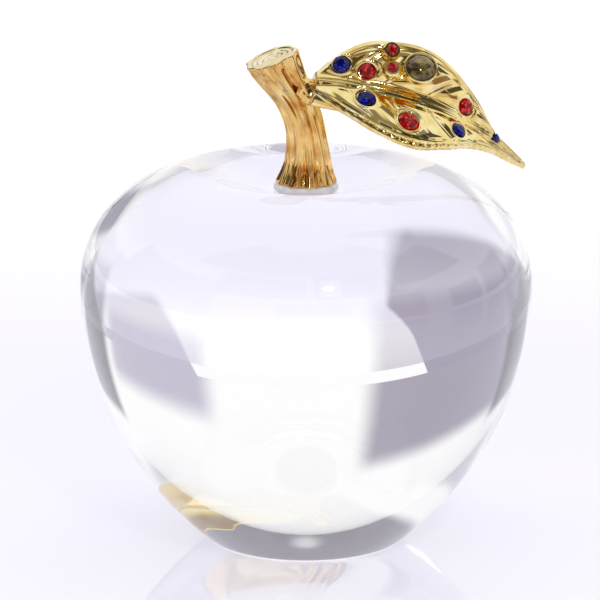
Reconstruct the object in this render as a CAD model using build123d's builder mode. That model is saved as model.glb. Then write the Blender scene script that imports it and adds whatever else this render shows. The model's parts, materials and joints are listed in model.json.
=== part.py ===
"""Art glass apple with a gold-plated stem and a leaf set with glass stones.

The frame has +Z up, its origin at the centre of the glass base, and -Y towards the viewer. Lengths are in
millimetres and angles in degrees.
"""

from build123d import *
import os
from math import cos, pi, radians, sin

os.makedirs("parts", exist_ok=True)

# Glass apple, as half of its outline
apple_radius = 40.0
equator_height = 46.3
base_flat_radius = 15.9
base_edge_radius = 2.4
base_edge_turn = 37.5
flank_lower_pull = 17.2
flank_upper_pull = 17.6
shoulder_lower_pull = 16.6
shoulder_upper_pull = 3.2
crown_radius = 20.0
crown_rise = 3.8
dish_outer_pull = 3.4
dish_inner_pull = 5.4
dish_inner_slope = 14.0
seat_radius = 7.1
seat_height = 63.4
flank_split_share = (0.0, 0.5, 1.0)
shoulder_split_share = (0.0, 0.4, 0.75, 1.0)
dish_split_share = (0.0, 0.5, 1.0)

# Clear adhesive pad under the stem's foot
pad_radius = 5.75
pad_thickness = 1.4
pad_edge_chamfer = 0.45

# Stem casting, as sections from the foot to the sawn top
stem_height = 22.3
stem_lean = 6.0
stem_waist_radius = 3.2
stem_top_tilt = 20.0
stem_top_forward_tilt = 6.0
stem_station_share = (0.0, 0.13, 0.29, 0.54, 0.71, 0.87, 1.0)
stem_lean_share = (0.0, -0.035, -0.025, 0.14, 0.4, 0.77, 1.0)
stem_radius_share = (1.62, 1.27, 1.08, 1.0, 1.04, 1.27, 1.46)
stem_tilt_share = (0.0, 0.0, 0.0, 0.5, 1.2, 1.2, 1.0)
bark_depth_share = (1.3, 1.2, 1.0, 1.0, 1.0, 1.0, 0.7)
bark_flute_count = 9
bark_flute_depth = 0.3
bark_wave_count = 4
bark_wave_depth = 0.15
bark_wave_turn = 40.0
bark_points_per_flute = 4
growth_ring_radius_share = (0.34, 0.58, 0.8)
growth_ring_width = 0.4
growth_ring_depth = 0.25

# Leaf casting: length and half widths at stations from the root to the tip, hung below the stem's top
leaf_origin_x = 1.6
leaf_origin_y = -1.0
leaf_drop = 4.6
leaf_yaw = 19.2
leaf_pitch = 23.9
leaf_roll = 61.0
leaf_length = 43.2
leaf_bow = 7.3
leaf_sway = 1.5
leaf_sway_start_share = 0.28
leaf_sway_rise_share = 0.7
leaf_upper_width = 9.2
leaf_lower_width = 11.2
leaf_upper_fold = 22.0
leaf_lower_fold = 26.0
leaf_camber_share = 0.35
leaf_tip_twist = -14.0
leaf_thickness = 1.1
leaf_rim_share = 0.45
leaf_rim_flat_share = 0.45
leaf_station_share = (0.0, 0.05, 0.13, 0.25, 0.38, 0.52, 0.66, 0.79, 0.9, 1.0)
leaf_upper_share = (0.06, 0.45, 0.82, 0.98, 1.0, 0.8, 0.48, 0.13, 0.065, 0.04)
leaf_lower_share = (0.18, 0.36, 0.62, 0.9, 1.0, 0.78, 0.465, 0.27, 0.16, 0.03)
leaf_thickness_share = (2.0, 1.5, 1.1, 1.0, 1.0, 1.0, 1.0, 0.95, 0.85, 0.6)

# Veins, as six-sided ribs that stand half out of the leaf
midrib_radius = 0.6
midrib_start_share = 0.03
midrib_end_share = 0.93
vein_radius = 0.42
rib_tip_radius = 0.16
rib_sides = 6
vein_count = 4
vein_first_share = 0.1
vein_step_share = 0.15
vein_sweep_share = 0.17
vein_bend_share = 0.77
vein_reach_share = 0.97
vein_path_share = (0.0, 0.3, 0.65, 1.0)

# Joint between the leaf's root and the stem's branch stub, placed in the leaf's frame
root_across = -1.0
root_out = -1.2
stub_long_radius = 2.5
stub_short_radius = 1.4
stub_root_x = -2.7
stub_root_y = -0.4
stub_root_drop = 0.6
stub_root_radius = 3.1
solder_thickness = 0.15
solder_overhang = 0.1
root_rib_along = 6.0
root_rib_across = -3.0
root_rib_out = 3.9
root_rib_long_radius = 1.4
root_rib_short_radius = 0.45
root_pocket_across = -0.4
root_pocket_out = -0.8
root_pocket_long_radius = 3.5
root_pocket_short_radius = 2.2
root_pocket_depth = 3.0

# Stones: place along the leaf and across it (as shares), and girdle radius
stone_seat_depth = 0.5
stone_side_clearance = 0.08
stone_film = 0.1
stone_girdle_rise = 0.12
stone_crown_share = 0.34
stone_crown_taper = 50.9
stone_facets = 10
stone_place_share = {
    "blue_stone_1": (0.068, 0.104),
    "blue_stone_2": (0.181, -0.024),
    "blue_stone_3": (0.579, -0.048),
    "blue_stone_4": (0.799, 0.024),
    "red_stone_1": (0.167, 0.095),
    "red_stone_2": (0.348, -0.092),
    "red_stone_3": (0.605, 0.073),
}
stone_radius = {
    "blue_stone_1": 1.5,
    "blue_stone_2": 1.6,
    "blue_stone_3": 1.35,
    "blue_stone_4": 0.8,
    "red_stone_1": 1.4,
    "red_stone_2": 1.8,
    "red_stone_3": 1.4,
    "red_stone_4": 0.95,
    "red_stone_5": 0.95,
}

# Cups on their bosses: two coved collets with a red stone each, and the bezel with the dome
cup_place = {
    "upper_collet": (9.94, 8.08),
    "lower_collet": (11.19, 4.75),
    "dome_bezel": (15.42, 5.83),
}
cup_place_share = {name: (along / leaf_length, out / leaf_length) for name, (along, out) in cup_place.items()}
cup_tilt = {"upper_collet": (-4.0, 20.0), "lower_collet": (-22.0, -12.0), "dome_bezel": (-18.0, -12.0)}
cup_rise = {"upper_collet": 0.65, "lower_collet": 0.85, "dome_bezel": 1.15}
cup_base_radius = {"upper_collet": 1.65, "lower_collet": 1.8, "dome_bezel": 2.75}
boss_sink = 0.4
boss_ledge = 0.05
collet_stone = {"upper_collet": "red_stone_4", "lower_collet": "red_stone_5"}
collet_height = 1.5
collet_base_height = 0.4
collet_rim = 0.35
collet_cove_radius = 1.6
bezel_radius = 3.05
bezel_height = 1.7
bezel_floor_height = 0.6
bezel_rim = 0.5
dome_side_clearance = 0.06
dome_girdle = 0.9
dome_rise = 1.1

crown_height = seat_height + crown_rise
foot_height = seat_height + pad_thickness


def arc_joint(start, start_way, end, end_way):
    """Return the point where two arcs, each tangent to one end of a curve, meet tangent to each other."""
    chord = end - start
    ways = start_way + end_way
    square = 2 * (1 - start_way.dot(end_way))
    lean = chord.dot(ways)
    reach = (-lean + (lean**2 + square * chord.dot(chord)) ** 0.5) / square
    return (start + start_way * reach + end - end_way * reach) / 2


# Glass body: one turned and polished solid, its outline made of tangent arcs along three guide curves
with BuildPart() as glass_body:
    with BuildSketch(Plane.XZ):
        with BuildLine():
            base = Line((0, 0), (base_flat_radius, 0))
            edge = JernArc(base @ 1, (1, 0), base_edge_radius, base_edge_turn)
            flank_way = edge % 1
            equator = Vector(apple_radius, equator_height)
            crown = Vector(crown_radius, crown_height)
            seat_rim = Vector(seat_radius, seat_height)
            slope = Vector(cos(radians(dish_inner_slope)), sin(radians(dish_inner_slope)))
            flank_guide = Bezier(
                edge @ 1,
                edge @ 1 + flank_way * flank_lower_pull,
                equator - Vector(0, flank_upper_pull),
                equator,
                mode=Mode.PRIVATE,
            )
            shoulder_guide = Bezier(
                equator,
                equator + Vector(0, shoulder_lower_pull),
                crown + Vector(shoulder_upper_pull, 0),
                crown,
                mode=Mode.PRIVATE,
            )
            dish_guide = Bezier(
                crown,
                crown - Vector(dish_outer_pull, 0),
                seat_rim + slope * dish_inner_pull,
                seat_rim,
                mode=Mode.PRIVATE,
            )
            for guide, shares in (
                (flank_guide, flank_split_share),
                (shoulder_guide, shoulder_split_share),
                (dish_guide, dish_split_share),
            ):
                for low, high in zip(shares[:-1], shares[1:]):
                    start, end = guide @ low, guide @ high
                    joint = arc_joint(start, guide % low, end, guide % high)
                    TangentArc(start, joint, tangent=guide % low)
                    TangentArc(end, joint, tangent=guide % high * -1)
            Polyline(seat_rim, (0, seat_height), (0, 0))
        make_face()
    revolve(axis=Axis.Z)
glass_body.part.label = "glass_body"

# Adhesive pad: a low disc with bevelled edges on the polished seat
with BuildPart() as stem_adhesive:
    with BuildSketch(Plane.XY.offset(seat_height)):
        Circle(pad_radius)
    extrude(amount=pad_thickness)
    chamfer(stem_adhesive.edges().filter_by(GeomType.CIRCLE), pad_edge_chamfer)
stem_adhesive.part.label = "stem_adhesive"


def turned(angle, forward=0):
    """Return the direction that leans left by angle and forward by another."""
    return Vector(-sin(radians(angle)), -sin(radians(forward)), cos(radians(angle)))


def stem_plane(index):
    """Return the plane of one stem section, with its normal along the stem."""
    centre = (
        -stem_lean * stem_lean_share[index],
        0,
        foot_height + stem_height * stem_station_share[index],
    )
    angle = stem_top_tilt * stem_tilt_share[index]
    forward = stem_top_forward_tilt if index == len(stem_station_share) - 1 else 0
    way = turned(angle, forward)
    return Plane(origin=centre, x_dir=Vector(0, 1, 0).cross(way), z_dir=way)


def bark_outline(index):
    """Return the points of one fluted stem section."""
    depth = bark_depth_share[index]
    radius = stem_waist_radius * stem_radius_share[index]
    count = bark_flute_count * bark_points_per_flute
    points = []
    for step in range(count):
        angle = 2 * pi * step / count
        reach = radius + depth * bark_flute_depth * cos(bark_flute_count * angle)
        reach += depth * bark_wave_depth * cos(bark_wave_count * angle + radians(bark_wave_turn))
        points.append((reach * cos(angle), reach * sin(angle)))
    return points


def leaf_axes():
    """Return the leaf's directions: along its chord, and out of its face."""
    yaw, pitch, roll = radians(leaf_yaw), radians(leaf_pitch), radians(leaf_roll)
    along = Vector(cos(yaw) * cos(pitch), sin(yaw) * cos(pitch), -sin(pitch))
    level = Vector(-sin(yaw), cos(yaw), 0)
    out = along.cross(level) * cos(roll) - level * sin(roll)
    return along, out


leaf_along, leaf_out = leaf_axes()
leaf_origin_height = foot_height + stem_height - leaf_drop
leaf_frame = Plane(
    origin=(leaf_origin_x, leaf_origin_y, leaf_origin_height),
    x_dir=leaf_along,
    z_dir=leaf_out,
)


def section_plane(along_length, across=0, out=0):
    """Return a plane square to the leaf's chord, at a place in the leaf's frame."""
    origin = leaf_frame.from_local_coords((along_length, across, out))
    return Plane(origin=origin, x_dir=leaf_frame.y_dir, z_dir=leaf_frame.x_dir)


def midrib_place(station):
    """Return how far the midrib lies across and out of the chord at a station."""
    turn = leaf_sway_start_share + (1 - leaf_sway_start_share) * station**leaf_sway_rise_share
    return leaf_sway * sin(pi * turn), leaf_bow * sin(pi * station)


def rib_section(index):
    """Return the leaf's section at a station: top and bottom points of each half."""
    station = leaf_station_share[index]
    thick = leaf_thickness * leaf_thickness_share[index]
    across, out = midrib_place(station)
    twist = radians(leaf_tip_twist) * station**2
    halves = []
    for side, width, fold in (
        (1, leaf_upper_width * leaf_upper_share[index], radians(leaf_upper_fold)),
        (-1, leaf_lower_width * leaf_lower_share[index], radians(leaf_lower_fold)),
    ):
        flat = [
            (0, 0),
            (side * width * cos(fold) / 2, width * sin(fold) / 2),
            (side * width * cos(fold), width * sin(fold) * (1 - leaf_camber_share)),
        ]
        top = [
            Vector(
                across + x * cos(twist) - y * sin(twist),
                out + x * sin(twist) + y * cos(twist),
            )
            for x, y in flat
        ]
        bottom = [point - Vector(0, thick) for point in top]
        middle = (top[-1] + bottom[-1]) / 2 + Vector(side * thick * leaf_rim_share, 0)
        corner = Vector(0, thick * leaf_rim_flat_share / 2)
        halves.append((top, (middle + corner, middle - corner), bottom))
    return halves


# Leaf blank: one skin lofted through sections, with a bevelled rim
with BuildPart() as leaf_blank:
    for index, station in enumerate(leaf_station_share):
        with BuildSketch(section_plane(leaf_length * station)):
            with BuildLine():
                (upper_top, upper_rim, upper_bottom), (lower_top, lower_rim, lower_bottom) = (
                    rib_section(index)
                )
                Bezier(*upper_top)
                Polyline(upper_top[-1], *upper_rim, upper_bottom[-1])
                Bezier(*reversed(upper_bottom))
                Bezier(*lower_bottom)
                Polyline(lower_bottom[-1], *reversed(lower_rim), lower_top[-1])
                Bezier(*reversed(lower_top))
            make_face()
    loft()
leaf_faces = leaf_blank.part.faces()


def leaf_spot(along_share, across):
    """Return the point and the outward normal where a sight line meets the leaf's face."""
    sight = Axis(leaf_frame.from_local_coords((leaf_length * along_share, across, 0)), leaf_out)
    hits = [hit for face in leaf_faces for hit in face.find_intersection_points(sight)]
    point, normal = max(hits, key=lambda hit: leaf_frame.to_local_coords(hit[0]).Z)
    return point, normal if normal.dot(leaf_out) > 0 else -normal


def seat_plane(place_share):
    """Return the plane that touches the leaf's face at a place."""
    point, normal = leaf_spot(place_share[0], leaf_length * place_share[1])
    return Plane(origin=point, x_dir=leaf_along.cross(normal).cross(-normal), z_dir=normal)


def half_width(station, side):
    """Return the leaf's half width at a station, on one side, between its sections."""
    shares = leaf_upper_share if side > 0 else leaf_lower_share
    width = leaf_upper_width if side > 0 else leaf_lower_width
    for index in range(len(shares) - 1):
        low, high = leaf_station_share[index], leaf_station_share[index + 1]
        if low <= station <= high:
            part_way = (station - low) / (high - low)
            return width * (shares[index] * (1 - part_way) + shares[index + 1] * part_way)
    return width * shares[-1]


def vein_points(number, side):
    """Return the points of one side vein on the leaf's face, from midrib to rim."""
    start = vein_first_share + vein_step_share * number
    points = []
    for part_way in vein_path_share:
        station = start + vein_sweep_share * part_way ** (1 / vein_bend_share)
        reach = vein_reach_share * half_width(station, side) * part_way
        across = midrib_place(station)[0] + side * reach * cos(radians(leaf_lower_fold))
        points.append(leaf_spot(station, across)[0])
    return points


def rib(points, radius):
    """Return a six-sided, tapering rib along a smooth line through points on the leaf's face."""
    with BuildPart() as tube:
        with BuildLine() as way:
            Spline(*points)
        with BuildSketch(Plane(origin=way.line @ 0, x_dir=leaf_out, z_dir=way.line % 0)):
            RegularPolygon(radius, rib_sides)
        with BuildSketch(Plane(origin=way.line @ 1, x_dir=leaf_out, z_dir=way.line % 1)):
            RegularPolygon(rib_tip_radius, rib_sides)
        sweep(multisection=True)
    return tube.part


def cup_plane(name):
    """Return the plane of a cup's base, raised over the leaf and tilted."""
    return seat_plane(cup_place_share[name]).offset(cup_rise[name]).rotated((*cup_tilt[name], 0))


seats = {name: seat_plane(place) for name, place in stone_place_share.items()}
cup_planes = {name: cup_plane(name) for name in cup_place_share}
midrib_stations = [
    midrib_start_share + (midrib_end_share - midrib_start_share) * step / (vein_count + 1)
    for step in range(vein_count + 2)
]
with BuildPart() as leaf:
    add(leaf_blank.part)
    with BuildSketch(section_plane(0, root_across, root_out)):
        Ellipse(stub_long_radius, stub_short_radius)
    with BuildSketch(section_plane(root_rib_along, root_rib_across, root_rib_out)):
        Ellipse(root_rib_long_radius, root_rib_short_radius)
    loft()
    add(rib([leaf_spot(place, midrib_place(place)[0])[0] for place in midrib_stations], midrib_radius))
    for number in range(vein_count):
        for side in (1, -1):
            add(rib(vein_points(number, side), vein_radius))
    for name, seat in seats.items():
        with BuildSketch(seat.offset(-stone_seat_depth)):
            Circle(stone_radius[name] + stone_side_clearance)
        extrude(amount=stone_seat_depth + leaf_thickness, mode=Mode.SUBTRACT)
    for name, plane in cup_planes.items():
        with BuildSketch(seat_plane(cup_place_share[name]).offset(-boss_sink)):
            Circle(cup_base_radius[name] + boss_ledge)
        with BuildSketch(plane):
            Circle(cup_base_radius[name] + boss_ledge)
        loft()
leaf.part.label = "leaf"

# Solder joint: a thin film where the leaf's root meets the stub
seam_plane = section_plane(-solder_thickness, root_across, root_out)
with BuildPart() as leaf_solder:
    with BuildSketch(seam_plane):
        Ellipse(stub_long_radius + solder_overhang, stub_short_radius + solder_overhang)
    extrude(amount=solder_thickness)
leaf_solder.part.label = "leaf_solder"

stub_root_plane = Plane(
    origin=(stub_root_x, stub_root_y, leaf_origin_height - stub_root_drop),
    x_dir=leaf_frame.y_dir,
    z_dir=leaf_along,
)

# Stem: fluted bark, sawn top with growth rings, and the branch stub that carries the leaf
with BuildPart() as stem:
    for index in range(len(stem_station_share)):
        with BuildSketch(stem_plane(index)):
            with BuildLine():
                Polyline(*bark_outline(index), close=True)
            make_face()
    loft()
    with BuildSketch(stem_plane(len(stem_station_share) - 1)):
        for share in growth_ring_radius_share:
            ring_radius = stem_waist_radius * stem_radius_share[-1] * share
            Circle(ring_radius)
            Circle(ring_radius - growth_ring_width, mode=Mode.SUBTRACT)
    extrude(amount=-growth_ring_depth, mode=Mode.SUBTRACT)
    with BuildSketch(section_plane(-solder_thickness, root_pocket_across, root_pocket_out)):
        Ellipse(root_pocket_long_radius, root_pocket_short_radius)
    extrude(amount=root_pocket_depth, mode=Mode.SUBTRACT)
    with BuildSketch(stub_root_plane):
        Circle(stub_root_radius)
    with BuildSketch(seam_plane):
        Ellipse(stub_long_radius, stub_short_radius)
    loft()
stem.part.label = "stem"


def faceted_stone(seat, radius):
    """Return a flat-backed stone: a round girdle below a faceted crown with a table."""
    with BuildPart() as stone:
        with BuildSketch(seat.offset(stone_film - stone_seat_depth)):
            RegularPolygon(radius, stone_facets)
        extrude(amount=stone_seat_depth - stone_film + stone_girdle_rise)
        crown_base = stone.faces().sort_by(Axis(seat.origin, seat.z_dir))[-1]
        extrude(crown_base, amount=stone_crown_share * radius, taper=stone_crown_taper)
    return stone.part


def side_plane(plane):
    """Return the plane through another plane's axis, for the half outline of a turned piece."""
    return Plane(origin=plane.origin, x_dir=plane.x_dir, z_dir=-plane.y_dir)


def collet(name):
    """Return a coved collet: a disc base, a hollow flank and a stone seat at the top."""
    plane = cup_planes[name]
    pocket_radius = stone_radius[collet_stone[name]] + stone_side_clearance
    base_corner = (cup_base_radius[name], collet_base_height)
    rim_corner = (pocket_radius + collet_rim, collet_height)
    floor_height = collet_height - stone_seat_depth
    with BuildPart() as turned_collet:
        with BuildSketch(side_plane(plane)):
            with BuildLine():
                Polyline((0, floor_height), (0, 0), (cup_base_radius[name], 0), base_corner)
                RadiusArc(base_corner, rim_corner, -collet_cove_radius)
                Polyline(rim_corner, (pocket_radius, collet_height), (pocket_radius, floor_height))
                Line((pocket_radius, floor_height), (0, floor_height))
            make_face()
        revolve(axis=Axis(plane.origin, plane.z_dir))
    turned_collet.part.label = name
    return turned_collet.part


collets = {name: collet(name) for name in collet_stone}

# Bezel: a round wall with a bevelled lip, open at the top
bezel_plane = cup_planes["dome_bezel"]
recess_radius = bezel_radius - bezel_rim
lip_bevel = bezel_rim / 3
lip_height = bezel_height - lip_bevel
with BuildPart() as dome_bezel:
    with BuildSketch(side_plane(bezel_plane)):
        with BuildLine():
            Polyline(
                (0, bezel_floor_height),
                (0, 0),
                (cup_base_radius["dome_bezel"], 0),
                (bezel_radius, lip_height),
            )
            Polyline(
                (bezel_radius, lip_height),
                (bezel_radius - lip_bevel, bezel_height),
                (recess_radius + lip_bevel, bezel_height),
                (recess_radius, lip_height),
            )
            Polyline(
                (recess_radius, lip_height),
                (recess_radius, bezel_floor_height),
                (0, bezel_floor_height),
            )
        make_face()
    revolve(axis=Axis(bezel_plane.origin, bezel_plane.z_dir))
dome_bezel.part.label = "dome_bezel"

# Cabochon dome: a short girdle under a spherical cap, on a film in its bezel
dome_radius = recess_radius - dome_side_clearance
dome_floor = bezel_plane.offset(bezel_floor_height + stone_film)
dome_top = (0, dome_girdle + dome_rise)
with BuildPart() as dome_cabochon:
    with BuildSketch(side_plane(dome_floor)):
        with BuildLine():
            Polyline(dome_top, (0, 0), (dome_radius, 0), (dome_radius, dome_girdle))
            TangentArc(dome_top, (dome_radius, dome_girdle), tangent=(1, 0))
        make_face()
    revolve(axis=Axis(dome_floor.origin, dome_floor.z_dir))
dome_cabochon.part.label = "dome_cabochon"

# Stones in the leaf, and the two in the collets
stone_seats = dict(seats)
for cup_name, stone_name in collet_stone.items():
    stone_seats[stone_name] = cup_planes[cup_name].offset(collet_height)
stones = {name: faceted_stone(seat, stone_radius[name]) for name, seat in stone_seats.items()}

# Clear films under the stones and the dome, one group
with BuildPart() as stone_adhesive:
    for name, seat in stone_seats.items():
        with BuildSketch(seat.offset(-stone_seat_depth)):
            Circle(stone_radius[name])
        extrude(amount=stone_film)
    with BuildSketch(bezel_plane.offset(bezel_floor_height)):
        Circle(dome_radius)
    extrude(amount=stone_film)
stone_adhesive.part.label = "stone_adhesive"

export_step(glass_body.part, "parts/glass_body.step")
export_step(stem_adhesive.part, "parts/stem_adhesive.step")
export_step(stem.part, "parts/stem.step")
export_step(leaf_solder.part, "parts/leaf_solder.step")
export_step(leaf.part, "parts/leaf.step")
export_step(dome_bezel.part, "parts/dome_bezel.step")
export_step(dome_cabochon.part, "parts/dome_cabochon.step")
export_step(stone_adhesive.part, "parts/stone_adhesive.step")
for name, shell in collets.items():
    export_step(shell, f"parts/{name}.step")
for name, stone in stones.items():
    stone.label = name
    export_step(stone, f"parts/{name}.step")
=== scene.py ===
"""Dress an art glass apple: clear crystal, a gold-plated bark stem and a leaf set with glass stones.

Sizes are written in millimetres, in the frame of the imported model, and turned to metres when a mesh is
made. The viewer looks from -Y.
"""

import json
import logging
import math
from dataclasses import dataclass, field
from enum import Enum
from typing import Any, Sequence

import bpy
import numpy as np
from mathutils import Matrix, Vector

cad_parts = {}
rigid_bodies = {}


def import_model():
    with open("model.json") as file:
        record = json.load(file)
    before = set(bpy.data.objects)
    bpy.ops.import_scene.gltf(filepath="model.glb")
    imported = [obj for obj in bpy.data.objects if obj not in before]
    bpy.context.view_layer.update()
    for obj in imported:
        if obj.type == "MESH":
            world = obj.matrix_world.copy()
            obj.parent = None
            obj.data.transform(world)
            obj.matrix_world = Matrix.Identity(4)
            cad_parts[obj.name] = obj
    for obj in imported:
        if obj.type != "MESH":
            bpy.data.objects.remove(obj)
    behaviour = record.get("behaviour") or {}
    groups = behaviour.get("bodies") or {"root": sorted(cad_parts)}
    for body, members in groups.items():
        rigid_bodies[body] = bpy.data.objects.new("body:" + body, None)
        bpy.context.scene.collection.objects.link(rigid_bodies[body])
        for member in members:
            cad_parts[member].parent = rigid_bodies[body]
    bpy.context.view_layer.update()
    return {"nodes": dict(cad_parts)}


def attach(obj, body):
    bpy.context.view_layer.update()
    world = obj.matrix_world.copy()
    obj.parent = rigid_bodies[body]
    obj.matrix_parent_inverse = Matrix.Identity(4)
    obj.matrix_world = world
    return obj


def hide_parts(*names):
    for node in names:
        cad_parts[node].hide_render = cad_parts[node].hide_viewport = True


LOG = logging.getLogger("apple")
MM = 0.001
# Light needs many bends before it has left the thick crystal.
LONG_PATHS = 40

Array = np.ndarray
Faces = list[tuple[int, ...]]
Pair = tuple[float, float]
Triple = tuple[float, float, float]
Row = tuple[float, ...]
Material = bpy.types.Material
Object = bpy.types.Object


# Helpers for numbers and curves


def linear(hex_colour: str) -> tuple[float, float, float, float]:
    """Turn an sRGB hex colour to a linear RGBA colour.

    Args:
        hex_colour: A colour such as "#C89B3C".

    Returns:
        The linear red, green, blue and an alpha of 1.
    """
    digits = hex_colour.lstrip("#")
    channels = [int(digits[i : i + 2], 16) / 255 for i in (0, 2, 4)]
    red, green, blue = (c / 12.92 if c <= 0.04045 else ((c + 0.055) / 1.055) ** 2.4 for c in channels)
    return red, green, blue, 1.0


def smooth_table(stations: Row, values: Row, at: Any) -> Any:
    """Read a table of values between its stations, along a smooth line through them.

    Args:
        stations: Rising places of the values.
        values: One value for each station.
        at: The place or places to read.

    Returns:
        The value at each place.
    """
    x, y = np.asarray(stations, float), np.asarray(values, float)
    slope = np.gradient(y, x)
    low = np.clip(np.searchsorted(x, at, side="right") - 1, 0, len(x) - 2)
    span = x[low + 1] - x[low]
    t = (at - x[low]) / span
    return (
        (1 + 2 * t) * (1 - t) ** 2 * y[low]
        + t * (1 - t) ** 2 * span * slope[low]
        + t * t * (3 - 2 * t) * y[low + 1]
        + t * t * (t - 1) * span * slope[low + 1]
    )


def bezier(points: Sequence[Sequence[float]], count: int) -> Array:
    """Draw a Bezier curve of any degree.

    Args:
        points: The control points.
        count: The number of points to return.

    Returns:
        An array with one row for each point.
    """
    t = np.linspace(0, 1, count)[:, None]
    control = np.asarray(points, float)
    degree = len(control) - 1
    rows = [math.comb(degree, i) * t**i * (1 - t) ** (degree - i) * control[i] for i in range(degree + 1)]
    return np.sum(rows, axis=0)


def smooth_step(low: float, high: float, at: Any) -> Any:
    """Return a soft step that rises from 0 at low to 1 at high."""
    t = np.clip((at - low) / (high - low), 0, 1)
    return t * t * (3 - 2 * t)


def smooth_band(places: Row, at: Any) -> Any:
    """Return a soft band that rises between the first two of four places and falls between the last two."""
    return smooth_step(places[0], places[1], at) * smooth_step(places[3], places[2], at)


def soft_bump(gap: Any, width: Any) -> Any:
    """Return a soft bump, 1 where the gap is 0 and falling over the width."""
    return np.exp(-((gap / width) ** 2))


def gap_to_line(places: Array, line: Array) -> tuple[Array, Array]:
    """Measure each place's distance to a broken line, and how far along the line that is.

    Args:
        places: Places in a plane, one in each row.
        line: The corners of the line, one in each row.

    Returns:
        The distances, and the shares of the line's corners passed, from 0 to 1.
    """
    best = np.full(len(places), np.inf)
    share = np.zeros(len(places))
    for index, (start, end) in enumerate(zip(line[:-1], line[1:])):
        run = end - start
        t = np.clip((places - start) @ run / (run @ run), 0, 1)
        gap = np.linalg.norm(places - start - t[:, None] * run, axis=1)
        near = gap < best
        best[near] = gap[near]
        share[near] = (index + t[near]) / (len(line) - 1)
    return best, share


# Helpers for meshes


def grid_faces(rows: int, columns: int) -> Faces:
    """List the quads of a grid of points whose rows close on themselves.

    Args:
        rows: The number of rows of points.
        columns: The number of points in each row.

    Returns:
        One tuple of four indices for each quad.
    """
    faces = []
    for row in range(rows - 1):
        for column in range(columns):
            beside = (column + 1) % columns
            low, high = row * columns, (row + 1) * columns
            faces.append((low + column, low + beside, high + beside, high + column))
    return faces


def end_fans(columns: int, low: int, high: int, last: int) -> Faces:
    """List the triangles that close both ends of such a grid.

    Args:
        columns: The number of points in each row.
        low: The index of the point that closes the first row.
        high: The index of the point that closes the last row.
        last: The index of the last row's first point.

    Returns:
        One tuple of three indices for each triangle.
    """
    faces = []
    for column in range(columns):
        beside = (column + 1) % columns
        faces += [(low, beside, column), (high, last + column, last + beside)]
    return faces


def make_piece(name: str, points: Array, faces: Faces) -> Object:
    """Make a smooth mesh object from points in millimetres.

    Args:
        name: The piece's name.
        points: Its points, one in each row.
        faces: Its faces, as indices of the points.

    Returns:
        The new object, linked to the scene.
    """
    mesh = bpy.data.meshes.new(name)
    mesh.from_pydata([tuple(p) for p in np.asarray(points) * MM], [], faces)
    mesh.validate()
    mesh.polygons.foreach_set("use_smooth", [True] * len(mesh.polygons))
    mesh.update()
    piece = bpy.data.objects.new(name, mesh)
    bpy.context.scene.collection.objects.link(piece)
    return piece


def dress(piece: Object, *materials: Material) -> None:
    """Give a piece its materials in place of any that it has.

    Args:
        piece: The piece.
        materials: Its materials, in the order of its slots.
    """
    piece.data.materials.clear()
    for material in materials:
        piece.data.materials.append(material)


# Helpers for materials


def set_inputs(tree: Any, node: Any, inputs: dict[Any, Any]) -> None:
    """Set or link a node's inputs.

    Args:
        tree: The node tree.
        node: The node.
        inputs: Values or output sockets, by the name or index of the input they go to.
    """
    for key, value in inputs.items():
        if isinstance(value, bpy.types.NodeSocket):
            tree.links.new(value, node.inputs[key])
        else:
            node.inputs[key].default_value = value


def add_node(tree: Any, kind: str, inputs: dict[Any, Any] | None = None, **settings: str) -> Any:
    """Add a node with its settings, values and links.

    Args:
        tree: The node tree.
        kind: The node's type name, without the words ShaderNode.
        inputs: Values or output sockets, by the name or index of the input they go to.
        settings: Attributes to set on the node.

    Returns:
        The new node's outputs.
    """
    node = tree.nodes.new("ShaderNode" + kind)
    for name, value in settings.items():
        setattr(node, name, value)
    set_inputs(tree, node, inputs or {})
    return node.outputs


def new_material(name: str) -> tuple[Material, Any, Any, Any]:
    """Make a material with a Principled shader.

    Args:
        name: The material's name.

    Returns:
        The material, its node tree, its Principled node and the socket of the place on the object.
    """
    material = bpy.data.materials.new(name)
    material.use_nodes = True
    tree = material.node_tree
    shader = next(node for node in tree.nodes if node.type == "BSDF_PRINCIPLED")
    return material, tree, shader, add_node(tree, "TexCoord")["Object"]


def tone_from(tree: Any, value: Any, stops: Sequence[tuple[float, str]]) -> Any:
    """Turn a value to a colour by a ramp.

    Args:
        tree: The node tree.
        value: The socket of the value.
        stops: Places from 0 to 1, each with a hex colour.

    Returns:
        The socket of the colour.
    """
    colour = add_node(tree, "ValToRGB", {"Fac": value})[0]
    ramp = colour.node.color_ramp
    while len(ramp.elements) > 1:
        ramp.elements.remove(ramp.elements[-1])
    for index, (place, hex_colour) in enumerate(stops):
        stop = ramp.elements[0] if index == 0 else ramp.elements.new(place)
        stop.position = place
        stop.color = linear(hex_colour)
    return colour


# Finishes


@dataclass(frozen=True)
class LeadCrystal:
    """Lead crystal, ground and polished: no colour of its own, bright edges and sharp reflections."""

    colour: str = "#FFFFFF"
    ior: float = 1.53
    roughness: float = 0.01
    ripple_mm: float = 9.0
    ripple_share: float = 0.015

    def material(self) -> Material:
        """Make the material.

        Returns:
            The material, with the faint long ripple that hand polishing leaves.
        """
        material, tree, shader, place = new_material("polished crystal")
        scale = 1 / (self.ripple_mm * MM)
        ripple = add_node(tree, "TexNoise", {"Vector": place, "Scale": scale, "Detail": 1.0})
        bump = {"Height": ripple[0], "Strength": self.ripple_share, "Distance": MM}
        looks = {
            "Base Color": linear(self.colour),
            "Roughness": self.roughness,
            "IOR": self.ior,
            "Transmission Weight": 1.0,
            "Normal": add_node(tree, "Bump", bump)[0],
        }
        set_inputs(tree, shader, looks)
        return material


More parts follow.
